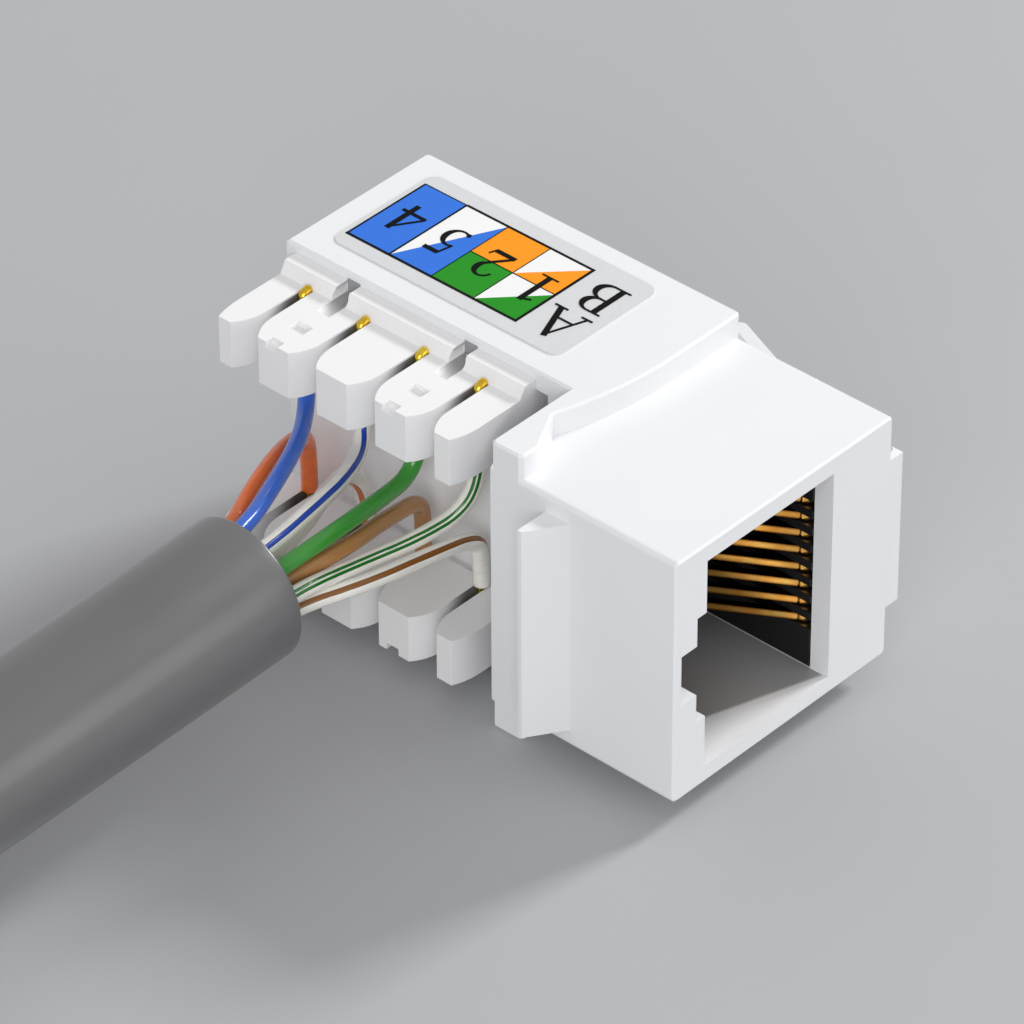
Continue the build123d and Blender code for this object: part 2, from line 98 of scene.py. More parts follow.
class Shader:
    """A material under construction: one Principled shader and short ways to feed it."""

    def __init__(self, name: str) -> None:
        """Starts an empty material.

        Args:
            name: the material's name.
        """
        self.material = bpy.data.materials.new(name)
        self.material.use_nodes = True
        self.tree = self.material.node_tree
        self.surface = self.tree.nodes["Principled BSDF"]

    def node(self, kind: str, **settings: object) -> bpy.types.Node:
        """Adds a node.

        Args:
            kind: the node's type.
            settings: its properties.

        Returns:
            The node.
        """
        made = self.tree.nodes.new(kind)
        for key, value in settings.items():
            setattr(made, key, value)
        return made

    def put(self, target: bpy.types.NodeSocket, source: object) -> None:
        """Links a socket to a target socket, or sets the target to a plain value.

        Args:
            target: the socket to feed.
            source: the socket or the value that feeds it.
        """
        if isinstance(source, bpy.types.NodeSocket):
            self.tree.links.new(source, target)
        else:
            target.default_value = source

    def set(self, **values: object) -> None:
        """Sets the Principled shader's own sockets.

        Args:
            values: sockets or values, named as the shader's sockets are, with underscores for spaces.
        """
        for key, value in values.items():
            name = key.replace("_", " ").title().replace("Ior", "IOR")
            self.put(self.surface.inputs[name], value)

    def place(self) -> bpy.types.NodeSocket:
        """The point's place on the object's coordinates, in metres."""
        return self.node("ShaderNodeTexCoord").outputs["Object"]

    def axes(self) -> tuple[bpy.types.NodeSocket, ...]:
        """Parts the point's place.

        Returns:
            Its X, Y and Z.
        """
        parted = self.node("ShaderNodeSeparateXYZ")
        self.put(parted.inputs["Vector"], self.place())
        return tuple(parted.outputs)

    def noise(
        self, grain: float, detail: float = 3.0, stretch: Point = (1.0, 1.0, 1.0)
    ) -> bpy.types.NodeSocket:
        """Adds an even noise from 0 to 1 on the object's coordinates.

        Args:
            grain: the size of a patch, in millimetres.
            detail: how many finer layers it has.
            stretch: how much finer it is along each axis.

        Returns:
            The socket that holds the noise.
        """
        mapping = self.node("ShaderNodeMapping")
        mapping.inputs["Scale"].default_value = stretch
        self.put(mapping.inputs["Vector"], self.place())
        made = self.node("ShaderNodeTexNoise")
        self.put(made.inputs["Vector"], mapping.outputs["Vector"])
        self.put(made.inputs["Scale"], 1 / (grain * MM))
        self.put(made.inputs["Detail"], detail)
        return made.outputs["Fac"]

    def ranged(
        self, source: bpy.types.NodeSocket, taken: Flat, given: Flat, curve: str
    ) -> bpy.types.NodeSocket:
        """Carries a value from one range to another, and holds it at the new range's ends.

        Args:
            source: the value.
            taken: the range that it comes from.
            given: the range that it goes to.
            curve: the way between the ends.

        Returns:
            The new value.
        """
        made = self.node("ShaderNodeMapRange", interpolation_type=curve)
        names = ("Value", "From Min", "From Max", "To Min", "To Max")
        for name, value in zip(names, (source, *taken, *given)):
            self.put(made.inputs[name], value)
        return made.outputs["Result"]

    def span(self, source: bpy.types.NodeSocket, low: float, high: float) -> bpy.types.NodeSocket:
        """The middle of a noise, where nearly all of it lies, carried to a range from low to high."""
        return self.ranged(source, NOISE_MIDDLE, (low, high), "LINEAR")

    def step(self, source: bpy.types.NodeSocket, start: float, end: float) -> bpy.types.NodeSocket:
        """A soft step from 0 at start to 1 at end."""
        return self.ranged(source, (start, end), (0.0, 1.0), "SMOOTHSTEP")

    def mix(self, share: object, first: object, second: object) -> bpy.types.NodeSocket:
        """Mixes two colours.

        Args:
            share: the second colour's share, from 0 to 1.
            first: the first colour, or a socket that holds it.
            second: the second colour, or a socket that holds it.

        Returns:
            The mixed colour.
        """
        made = self.node("ShaderNodeMix", data_type="RGBA")
        self.put(made.inputs["Factor"], share)
        for name, value in (("A", first), ("B", second)):
            wide = value if isinstance(value, bpy.types.NodeSocket) else (*value, 1.0)
            self.put(next(s for s in made.inputs if s.name == name and s.type == "RGBA"), wide)
        return next(socket for socket in made.outputs if socket.type == "RGBA")

    def clouded(
        self, source: bpy.types.NodeSocket, first: Colour, second: Colour, most: float = 1.0
    ) -> bpy.types.NodeSocket:
        """A colour that a noise carries from the first towards the second, up to the most."""
        return self.mix(self.span(source, 0.0, most), first, second)

    def worn(self, source: bpy.types.NodeSocket, roughness: float, wear: Flat) -> None:
        """Sets a roughness that a noise varies between two factors of it."""
        self.set(roughness=self.span(source, roughness * wear[0], roughness * wear[1]))

    def math(self, operation: str, *values: object) -> bpy.types.NodeSocket:
        """Adds one step of arithmetic.

        Args:
            operation: the step's kind.
            values: the sockets or numbers that it works on.

        Returns:
            The result.
        """
        made = self.node("ShaderNodeMath", operation=operation)
        for socket, value in zip(made.inputs, values):
            self.put(socket, value)
        return made.outputs["Value"]

    def bump(self, height: bpy.types.NodeSocket, depth: float) -> None:
        """Feeds the shader's normal from a raised surface.

        Args:
            height: the surface's height, from 0 to 1.
            depth: what a height of 1 is, in millimetres.
        """
        made = self.node("ShaderNodeBump")
        self.put(made.inputs["Height"], height)
        self.put(made.inputs["Distance"], depth * MM)
        self.put(self.surface.inputs["Normal"], made.outputs["Normal"])


class Finish:
    """What every finish can do: make its material once and dress pieces in it."""

    name: str

    def make(self, shader: Shader) -> None:
        """Fills the shader; each finish has its own way."""
        raise NotImplementedError

    def material(self) -> bpy.types.Material:
        """Makes the finish's material on its first use.

        Returns:
            The material.
        """
        title = f"{self.name}_finish"
        found = bpy.data.materials.get(title)
        if found is None:
            shader = Shader(title)
            self.make(shader)
            found = shader.material
        return found

    def dress(self, piece: bpy.types.Object) -> bpy.types.Object:
        """Puts the finish on a piece or a carried-over solid.

        Args:
            piece: the piece.

        Returns:
            The same piece.
        """
        if not piece.material_slots:
            piece.data.materials.append(self.material())
        for place in piece.material_slots:
            place.material = self.material()
        return piece


@dataclass(frozen=True)
class PaintedShadeBox:
    """A box round the faces of an opening, in which painted shade darkens the plastic where little light
    would come in.

    The box is mirrored across the middle plane: its limits along Z hold for the height above and below.
    The painted shade sets in along a direction, from one distance to another.
    """

    near: Point
    far: Point
    tone: float
    direction: Point
    fade: Flat
    soft_edge: float = 0.02

    def share(self, shader: Shader) -> bpy.types.NodeSocket:
        """Works out the painted shade's share: soft steps inwards from each side of the box, times the fade.

        Args:
            shader: the material's shader.

        Returns:
            The share, from 0 to 1.
        """
        depth = shader.node("ShaderNodeVectorMath", operation="DOT_PRODUCT")
        shader.put(depth.inputs[0], shader.place())
        shader.put(depth.inputs[1], self.direction)
        share = shader.step(depth.outputs["Value"], self.fade[0] * MM, self.fade[1] * MM)
        x, y, z = shader.axes()
        for value, low, high in zip((x, y, shader.math("ABSOLUTE", z)), self.near, self.far):
            for start, end in ((low, low + self.soft_edge), (high, high - self.soft_edge)):
                share = shader.math("MULTIPLY", share, shader.step(value, start * MM, end * MM))
        return share


@dataclass(frozen=True)
class MouldedPlastic(Finish):
    """Injection-moulded plastic: an even colour, faint flow marks, a fine eggshell grain and painted shade in
    its openings.
    """

    name: str
    colour: Colour
    roughness: float = 0.3
    wear: Flat = (0.92, 1.08)
    wear_patch: float = 3.0
    flow: float = 0.02
    flow_patch: float = 6.0
    grain: float = 0.3
    depth: float = 0.0012
    painted_shades: tuple[PaintedShadeBox, ...] = ()

    def make(self, shader: Shader) -> None:
        """Sets a slowly drifting colour with painted shade in its shade boxes, a varied roughness and a
        raised grain.

        Args:
            shader: the material's shader.
        """
        drift = shader.noise(self.flow_patch, detail=1.0)
        ground = shader.clouded(drift, self.colour, scaled(self.colour, 1 - self.flow))
        # Painted shade: each box darkens the colour towards its tone.
        for shade_box in self.painted_shades:
            ground = shader.mix(shade_box.share(shader), ground, scaled(self.colour, shade_box.tone))
        shader.set(base_color=ground)
        shader.worn(shader.noise(self.wear_patch, detail=2.0), self.roughness, self.wear)
        shader.bump(shader.noise(self.grain, detail=2.0), self.depth)


@dataclass(frozen=True)
class PlatedMetal(Finish):
    """Bright plated or drawn metal with fine lines along the piece.

    Where the finish has a pitch, the pieces repeat along Z and lie half a pitch from the middle plane.
    The lit crown then gives the distances from a piece's middle between which painted shade sets in on its
    sides, as if each wire were lit along its middle.
    """

    name: str
    colour: Colour
    shade: Colour
    roughness: float
    wear: Flat = (0.8, 1.3)
    patch: float = 0.9
    line: float = 0.25
    stretch: Point = (1.0, 1.0, 6.0)
    depth: float = 0.0008
    pitch: float = 0.0
    lit_crown: Flat = (0.07, 0.2)
    painted_side_shade: float = 0.3

    def make(self, shader: Shader) -> None:
        """Sets a tone that drifts between two metals, painted shade on the sides, and drawn lines.

        The place along Z over the pitch has a whole and a fraction, and the fraction is a half at the
        middle of a piece. Its distance from a half gives the share of the sides' painted shade.

        Args:
            shader: the material's shader.
        """
        ground = shader.clouded(shader.noise(self.patch), self.colour, self.shade)
        # Painted shade: each contact's sides are darkened, as on a round wire in shade away from its lit
        # middle.
        if self.pitch > 0:
            turn = shader.math("FRACT", shader.math("DIVIDE", shader.axes()[2], self.pitch * MM))
            beside = shader.math("ABSOLUTE", shader.math("SUBTRACT", turn, 0.5))
            sides = shader.step(beside, self.lit_crown[0] / self.pitch, self.lit_crown[1] / self.pitch)
            ground = shader.mix(sides, ground, scaled(self.shade, self.painted_side_shade))
        shader.set(base_color=ground, metallic=1.0)
        drawn = shader.noise(self.line, detail=2.0, stretch=self.stretch)
        shader.worn(drawn, self.roughness, self.wear)
        shader.bump(drawn, self.depth)


@dataclass(frozen=True)
class JacketPlastic(Finish):
    """The grey jacket: extruded plastic with a soft sheen and faint draw lines along it."""

    name: str
    colour: Colour
    roughness: float = 0.3
    wear: Flat = (0.94, 1.06)
    cloud_tone: float = 1.12
    cloud_patch: float = 3.5
    cloud_stretch: Point = (0.4, 1.0, 1.0)
    line: float = 0.5
    line_stretch: Point = (0.06, 1.0, 1.0)
    depth: float = 0.002
    coat: float = 0.6
    coat_roughness: float = 0.24

    def make(self, shader: Shader) -> None:
        """Sets a colour clouded along the cable, and draw lines in the roughness and the surface.

        Args:
            shader: the material's shader.
        """
        cloud = shader.noise(self.cloud_patch, stretch=self.cloud_stretch)
        shader.set(base_color=shader.clouded(cloud, self.colour, scaled(self.colour, self.cloud_tone)))
        drawn = shader.noise(self.line, stretch=self.line_stretch)
        shader.worn(drawn, self.roughness, self.wear)
        shader.set(coat_weight=self.coat, coat_roughness=self.coat_roughness)
        shader.bump(drawn, self.depth)


@dataclass(frozen=True)
class Insulation(Finish):
    """A wire's insulation: one colour, or a pale one with a coloured tracer along it.

    Angles round the wire are in radians from the tracer's middle. The tracer's edge fades over edge_fade,
    and inside it its darker border lies between the two angles of border.
    """

    name: str
    colour: Colour
    tracer: Colour | None = None
    pale_line: float = 0.0
    half_turn: float = 0.34
    edge_fade: float = 0.06
    border: Flat = (0.02, 0.08)
    border_tone: float = 0.5
    wander: float = 0.08
    pale_fade: float = 0.05
    pale_tone: float = 0.9
    streak_tone: float = 0.86
    streak_most: float = 0.8
    streak_patch: float = 0.35
    streak_stretch: Point = (0.25, 1.0, 1.0)
    depth: float = 0.004
    roughness: float = 0.2
    coat: float = 0.3
    coat_roughness: float = 0.06

    def make(self, shader: Shader) -> None:
        """Sets a faintly streaked ground and the tracer.

        The wire's mesh holds facing, the cosine of the angle between a point and the tracer's middle.
        The tracer lies where that angle is under half the tracer's turn, and wanders a little. Where the
        pale line has a width, it shows the ground down the tracer's middle and the tracer is so much wider.

        Args:
            shader: the material's shader.
        """
        streak = shader.noise(self.streak_patch, detail=2.0, stretch=self.streak_stretch)
        ground = shader.clouded(streak, self.colour, scaled(self.colour, self.streak_tone), self.streak_most)
        if self.tracer is not None:
            facing = shader.node("ShaderNodeAttribute", attribute_name="facing").outputs["Fac"]
            turn = shader.math("ARCCOSINE", shader.math("MINIMUM", facing, 1.0))
            wandering = shader.math("MULTIPLY_ADD", streak, self.wander, turn)
            reach = self.half_turn + self.pale_line
            band = shader.step(wandering, reach + self.edge_fade, reach)
            core = shader.step(wandering, reach - self.border[0], reach - self.border[1])
            line = shader.mix(core, scaled(self.tracer, self.border_tone), self.tracer)
            if self.pale_line > 0:
                outside = shader.step(wandering, self.pale_line, self.pale_line + self.pale_fade)
                line = shader.mix(outside, scaled(self.colour, self.pale_tone), line)
            ground = shader.mix(band, ground, line)
        shader.set(base_color=ground, roughness=self.roughness)
        shader.set(coat_weight=self.coat, coat_roughness=self.coat_roughness)
        shader.bump(streak, self.depth)


@dataclass(frozen=True)
class PrintedFilm(Finish):
    """Thin film, ink or a studio floor: an even colour with a faint mottle and a low sheen."""

    name: str
    colour: Colour
    roughness: float = 0.38
    wear: Flat = (0.9, 1.1)
    wear_grains: float = 2.5
    mottle: float = 0.03
    grain: float = 0.6
    sheen_level: float = 0.5

    def make(self, shader: Shader) -> None:
        """Sets a colour and a roughness that vary a little, each on its own noise.

        Args:
            shader: the material's shader.
        """
        tone = shader.noise(self.grain)
        shader.set(base_color=shader.clouded(tone, self.colour, scaled(self.colour, 1 - self.mottle)))
        shader.worn(shader.noise(self.grain * self.wear_grains), self.roughness, self.wear)
        shader.set(specular_ior_level=self.sheen_level)


@dataclass(frozen=True)
class Laminate(Finish):
    """Circuit board: green resist over a woven base."""

    name: str
    colour: Colour
    roughness: float = 0.35
    thread: float = 0.45
    thread_stretch: float = 0.2
    contrast: float = 2.0
    shade: float = 0.7
    depth: float = 0.004

    def make(self, shader: Shader) -> None:
        """Sets stretched noises along Y and along Z that cross like the threads of a weave.

        Args:
            shader: the material's shader.
        """
        warp = shader.noise(self.thread, detail=1.0, stretch=(1.0, self.thread_stretch, 1.0))
        weft = shader.noise(self.thread, detail=1.0, stretch=(1.0, 1.0, self.thread_stretch))
        weave = shader.math("MULTIPLY", warp, weft)
        dark = shader.math("MULTIPLY", weave, self.contrast)
        shader.set(base_color=shader.mix(dark, self.colour, scaled(self.colour, self.shade)))
        shader.set(roughness=self.roughness)
        shader.bump(weave, self.depth)


WINDOW_HALF = 0.445
SLOT_HALF = 0.31
# Painted shadow and shade: the port's inner faces are darker beyond a slanted line, as in the shadow cast by
# its +X jamb.
PORT_PAINTED_SHADOW = PaintedShadeBox(
    near=(-7.6, 0.0, -1.0), far=(3.5, 12.1, 6.3), tone=0.36, direction=(0.33, 1.0, 0.0), fade=(1.3, 1.62)
)
# Painted shade in the windows of the block's shoulders.
SHOULDER_PAINTED_SHADE = tuple(
    PaintedShadeBox(
        near=(-4.6, middle - WINDOW_HALF, 7.2),
        far=(-2.2, middle + WINDOW_HALF, 8.3),
        tone=0.4,
        direction=(1.0, 0.0, 0.0),
        fade=(-4.4, -3.0),
    )
    for middle in (SLOTS_Y[0] - SLOT_PITCH / 2, SLOTS_Y[2] - SLOT_PITCH / 2)
)
# Painted shade down in the slots, fading out towards the teeth's outer ends.
SLOT_PAINTED_SHADE = tuple(
    PaintedShadeBox(
        near=(-6.3, middle - SLOT_HALF, 4.6),
        far=(-3.2, middle + SLOT_HALF, 7.385),
        tone=0.22,
        direction=(1.0, 0.0, 0.0),
        fade=(-6.2, -4.4),
    )
    for middle in SLOTS_Y
)
# The white plastics carry painted shade in the port, the windows and the slots.
WHITE_PLASTIC = MouldedPlastic(
    "white_housing_plastic", srgb(238, 239, 241), painted_shades=(PORT_PAINTED_SHADOW, *SHOULDER_PAINTED_SHADE)
)
BLOCK_PLASTIC = MouldedPlastic(
    "white_block_plastic", srgb(243, 243, 244), roughness=0.34, painted_shades=SHOULDER_PAINTED_SHADE + SLOT_PAINTED_SHADE
)
COMB_PLASTIC = MouldedPlastic("black_comb_plastic", (0.009, 0.009, 0.01), roughness=0.36, flow=0.2)
# The contacts' pitch turns on the painted shade along their sides.
CONTACT_GOLD = PlatedMetal(
    "gold_contact_plating", (1.0, 0.64, 0.17), (1.0, 0.4, 0.06), roughness=0.14, pitch=1.03
)
CONDUCTOR_GOLD = PlatedMetal("bright_conductor", (1.0, 0.74, 0.08), (0.85, 0.5, 0.04), roughness=0.24)
BLADE_TIN = PlatedMetal("tin_blade_plating", (0.62, 0.6, 0.56), (0.45, 0.43, 0.4), roughness=0.35)
BOARD_GREEN = Laminate("green_board", (0.02, 0.12, 0.045))
JACKET_GREY = JacketPlastic("grey_cable_jacket", srgb(97, 97, 98))
LABEL_FILM = PrintedFilm("pale_label_film", srgb(217, 218, 220))
CREAM = srgb(253, 250, 242)


def link_object(name: str, mesh: bpy.types.Mesh, smooth: bool = True) -> bpy.types.Object:
    """Adds an object for a finished mesh to the scene.

    Args:
        name: the piece's name.
        mesh: its mesh, in metres and in place.
        smooth: whether its faces shade smoothly.

    Returns:
        The new object.
    """
    mesh.polygons.foreach_set("use_smooth", np.full(len(mesh.polygons), smooth))
    mesh.update()
    piece = bpy.data.objects.new(name, mesh)
    bpy.context.scene.collection.objects.link(piece)
    return piece


def settle(piece: bpy.types.Object, body: str, slot: str, *nodes: str) -> bpy.types.Object:
    """Tells the frame where a piece belongs.

    Args:
        piece: the piece.
        body: the body that it rides on.
        slot: the slot of its finish; not used.
        nodes: the solids that it stands for.

    Returns:
        The same piece.
    """
    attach(piece, body)
    if nodes:
        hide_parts(*nodes)
    return piece


def round_edges(piece: bpy.types.Object, width: float, segments: int, sharp_angle: float) -> None:
    """Breaks a piece's sharp edges with a bevel.

    Args:
        piece: the piece.
        width: the bevel's width, in millimetres.
        segments: how many faces it has across.
        sharp_angle: the angle between two faces from which their edge is sharp, in degrees.
    """
    bevel = piece.modifiers.new("edges", "BEVEL")
    bevel.width, bevel.segments = width * MM, segments
    bevel.limit_method, bevel.angle_limit = "ANGLE", math.radians(sharp_angle)
    bevel.harden_normals = True


def ring_mesh(name: str, rows: np.ndarray, closed: bool, facing: np.ndarray | None = None) -> bpy.types.Mesh:
    """Makes a mesh on a grid of points whose rings wrap round.

    Face (i, j) joins ring i to ring i + 1 between column j and column j + 1, both taken modulo their count.

    Args:
        name: the mesh's name.
        rows: points in millimetres, as rings by columns by three.
        closed: whether the last ring joins the first one; otherwise both end rings get a face.
        facing: values of the attribute facing, as rings by columns.

    Returns:
        The mesh, in metres, with its faces outwards.
    """
    rings, columns, _ = rows.shape
    ring = np.arange(rings if closed else rings - 1)[:, None]
    column = np.arange(columns)[None, :]
    after, beside = (ring + 1) % rings, (column + 1) % columns
    near, far = ring * columns, after * columns
    corners = [near + column, near + beside, far + beside, far + column]
    faces = np.stack([np.broadcast_to(c, (len(ring), columns)) for c in corners], -1).reshape(-1, 4)
    ends = []
    if not closed:
        ends = [list(range(columns))[::-1], list(range((rings - 1) * columns, rings * columns))]
    mesh = bpy.data.meshes.new(name)
    mesh.from_pydata(rows.reshape(-1, 3) * MM, [], faces.tolist() + ends)
    if facing is not None:
        layer = mesh.attributes.new("facing", "FLOAT", "POINT")
        layer.data.foreach_set("value", facing.astype(np.float32).ravel())
    return mesh


def spline_points(route: Sequence[Point], spacing: float) -> np.ndarray:
    """Evenly spaced points on the smooth NURBS line of a route.

    Args:
        route: the route's control points, in millimetres.
        spacing: the distance between points, in millimetres.

    Returns:
        The points, in millimetres, from the route's first to its last.
    """
    curve = bpy.data.curves.new("route", "CURVE")
    curve.dimensions, curve.resolution_u = "3D", CURVE_RESOLUTION
    spline = curve.splines.new("NURBS")
    spline.points.add(len(route) - 1)
    weighted = np.column_stack([np.array(route, float), np.ones(len(route))])
    spline.points.foreach_set("co", weighted.ravel())
    spline.order_u, spline.use_endpoint_u = CURVE_ORDER, True
    holder = bpy.data.objects.new("route", curve)
    bpy.context.scene.collection.objects.link(holder)
    bpy.context.view_layer.update()
    line = bpy.data.meshes.new_from_object(holder)
    points = np.zeros(len(line.vertices) * 3)
    line.vertices.foreach_get("co", points)
    points = points.reshape(-1, 3)
    bpy.data.objects.remove(holder)
    bpy.data.meshes.remove(line)
    bpy.data.curves.remove(curve)
    along = np.concatenate([[0.0], np.cumsum(np.linalg.norm(np.diff(points, axis=0), axis=1))])
    even = np.linspace(0.0, along[-1], max(3, round(along[-1] / spacing) + 1))
    return np.stack([np.interp(even, along, points[:, axis]) for axis in range(3)], -1)


@dataclass
class FramedLine:
    """A line through space with a square frame at each of its points."""

    points: np.ndarray
    across: np.ndarray = field(init=False)
    rise: np.ndarray = field(init=False)
    along: np.ndarray = field(init=False)

    def __post_init__(self) -> None:
        """Works out the frames: across is +Y made square to the tangent, rise is tangent cross across."""
        tangent = np.gradient(self.points, axis=0)
        tangent = tangent / np.linalg.norm(tangent, axis=1, keepdims=True)
        side = np.array([0.0, 1.0, 0.0]) - tangent * tangent[:, 1:2]
        self.across = side / np.linalg.norm(side, axis=1, keepdims=True)
        self.rise = np.cross(tangent, self.across)
        steps = np.linalg.norm(np.diff(self.points, axis=0), axis=1)
        self.along = np.concatenate([[0.0], np.cumsum(steps)])

    @property
    def length(self) -> float:
        """The line's length, in millimetres."""
        return float(self.along[-1])

    def at(self, distance: np.ndarray) -> tuple[np.ndarray, np.ndarray, np.ndarray]:
        """Finds places along the line.

        Args:
            distance: how far along the line they lie.

        Returns:
            Their centres, acrosses and rises.
        """
        found = [
            np.stack([np.interp(distance, self.along, source[:, axis]) for axis in range(3)], -1)
            for source in (self.points, self.across, self.rise)
        ]
        return found[0], found[1], found[2]

    def rings(
        self, distance: np.ndarray, radius: np.ndarray, columns: int, shift: np.ndarray | None = None
    ) -> np.ndarray:
        """Lays rings round the line, or round a line beside it.

        A ring's point at angle t is the centre, plus the shift along across and rise, plus radius times
        (across cos t minus rise sin t), which turns so that faces from ring to ring point outwards.

        Args:
            distance: how far along the line each ring lies.
            radius: each ring's radius.
            columns: how many points a ring has.
            shift: each ring's offsets along across and rise.

        Returns:
            The points, as rings by columns by three.
        """
        angle = np.linspace(0.0, 2 * math.pi, columns, endpoint=False)
        centre, across, rise = self.at(distance)
        if shift is not None:
            centre = centre + across * shift[:, :1] + rise * shift[:, 1:]
        wave = across[:, None] * np.cos(angle)[None, :, None] - rise[:, None] * np.sin(angle)[None, :, None]
        return centre[:, None] + radius[:, None, None] * wave


@dataclass
class BevelledMoulding:
    """A moulded solid copied from the frame with its sharp edges broken, as a mould leaves them."""

    node: str
    piece_name: str
    body: str
    finish: Finish
    slot: str
    edge: float
    segments: int = 2
    sharp_angle: float = 28.0
    flat_angle: float = 0.4
    merge_grid: float = 0.0005

    def merged(self, source: bpy.types.Object) -> bpy.types.Mesh:
        """Makes one skin of flat faces from the solid's loose triangles.

        Args:
            source: the carried-over solid.

        Returns:
            A mesh whose corners are shared and whose coplanar triangles are joined.
        """
        corners = np.zeros(len(source.data.vertices) * 3)
        source.data.vertices.foreach_get("co", corners)
        keys = np.round(corners.reshape(-1, 3) / (self.merge_grid * MM)).astype(np.int64)
        _, first, inverse = np.unique(keys, axis=0, return_index=True, return_inverse=True)
        triangles = np.zeros(len(source.data.polygons) * 3, np.int32)
        source.data.polygons.foreach_get("vertices", triangles)
        faces = inverse.reshape(-1)[triangles].reshape(-1, 3)
        whole = (faces[:, 0] != faces[:, 1]) & (faces[:, 1] != faces[:, 2]) & (faces[:, 2] != faces[:, 0])
        mesh = bpy.data.meshes.new(self.piece_name)
        mesh.from_pydata(corners.reshape(-1, 3)[first], [], faces[whole].tolist())
        skin = bmesh.new()
        skin.from_mesh(mesh)
        limit = math.radians(self.flat_angle)
        bmesh.ops.dissolve_limit(skin, angle_limit=limit, verts=skin.verts, edges=skin.edges)
        skin.to_mesh(mesh)
        skin.free()
        return mesh

    def build(self, nodes: dict[str, bpy.types.Object]) -> bpy.types.Object:
        """Makes, finishes and dresses the piece, which then stands for its solid.

        Args:
            nodes: the frame's solids by name.

        Returns:
            The piece.
        """
        piece = link_object(self.piece_name, self.merged(nodes[self.node]))
        round_edges(piece, self.edge, self.segments, self.sharp_angle)
        self.finish.dress(piece)
        return settle(piece, self.body, self.slot, self.node)


class Row(Enum):
    """The two rows of slots, as the side of the middle plane that they lie on."""

    UPPER = 1
    LOWER = -1


@dataclass
class Housing:
    """The white mouldings, the black comb and what else keeps the shape of its solid."""

    contact_count: int = 8
    contact_weld: float = 0.001
    contact_edge: float = 0.14
    contact_segments: int = 3
    contact_angle: float = 50.0
    mouldings: tuple[BevelledMoulding, ...] = (
        BevelledMoulding("jack_housing", "housing_moulding", "jack", WHITE_PLASTIC, "housing_plastic", 0.09),
        BevelledMoulding("latch_arm", "latch_moulding", "latch", WHITE_PLASTIC, "housing_plastic", 0.09),
        BevelledMoulding("idc_block", "block_moulding", "jack", BLOCK_PLASTIC, "block_plastic", 0.06),
        BevelledMoulding("contact_insert", "comb_moulding", "jack", COMB_PLASTIC, "insert_plastic", 0.04),
    )

    def contact(self, node: bpy.types.Object) -> bpy.types.Object:
        """Dresses one contact in gold, with its corners rounded off like drawn wire.

        Args:
            node: the contact's solid.

        Returns:
            The same solid.
        """
        weld = node.modifiers.new("weld", "WELD")
        weld.merge_threshold = self.contact_weld * MM
        round_edges(node, self.contact_edge, self.contact_segments, self.contact_angle)
        return CONTACT_GOLD.dress(node)

    def build(self, nodes: dict[str, bpy.types.Object]) -> list[bpy.types.Object]:
        """Dresses the mouldings, the contacts, the blades, the board and the label's film.

        Args:
            nodes: the frame's solids by name.

        Returns:
            The pieces.
        """
        made = [moulding.build(nodes) for moulding in self.mouldings]
        for index in range(1, self.contact_count + 1):
            made.append(self.contact(nodes[f"contact_lead_{index}"]))
            made.append(self.contact(nodes[f"contact_spring_{index}"]))
        for row in Row:
            for index in range(1, SLOTS_IN_ROW + 1):
                made.append(BLADE_TIN.dress(nodes[f"idc_blade_{row.name.lower()}_{index}"]))
        made.append(BOARD_GREEN.dress(nodes["circuit_board"]))
        made.append(LABEL_FILM.dress(nodes["wiring_label"]))
        return made


@dataclass(frozen=True)
class Wire:
    """One insulated wire: its place in the jacket's mouth, its way to its slot and its colours.

    The offset is across and up from the jacket's middle, and the open points' heights are over the table.
    """

    colour: str
    offset: Flat
    open_points: tuple[Point, ...]
    row: Row
    slot_number: int
    ground: Colour
    tracer: Colour | None = None
    tracer_angles: Flat = (132.0, 132.0)
    pale_line: float = 0.0

    @property
    def finish(self) -> Insulation:
        """The wire's insulation."""
        return Insulation(f"wire_{self.colour}", self.ground, self.tracer, self.pale_line)

    @property
    def slot(self) -> str:
        """The slot name of the wire's insulation."""
        return f"insulation_{self.colour}"

    @property
    def slot_y(self) -> float:
        """The place along Y of the slot that the wire lies in."""
        return SLOTS_Y[self.slot_number - 1]


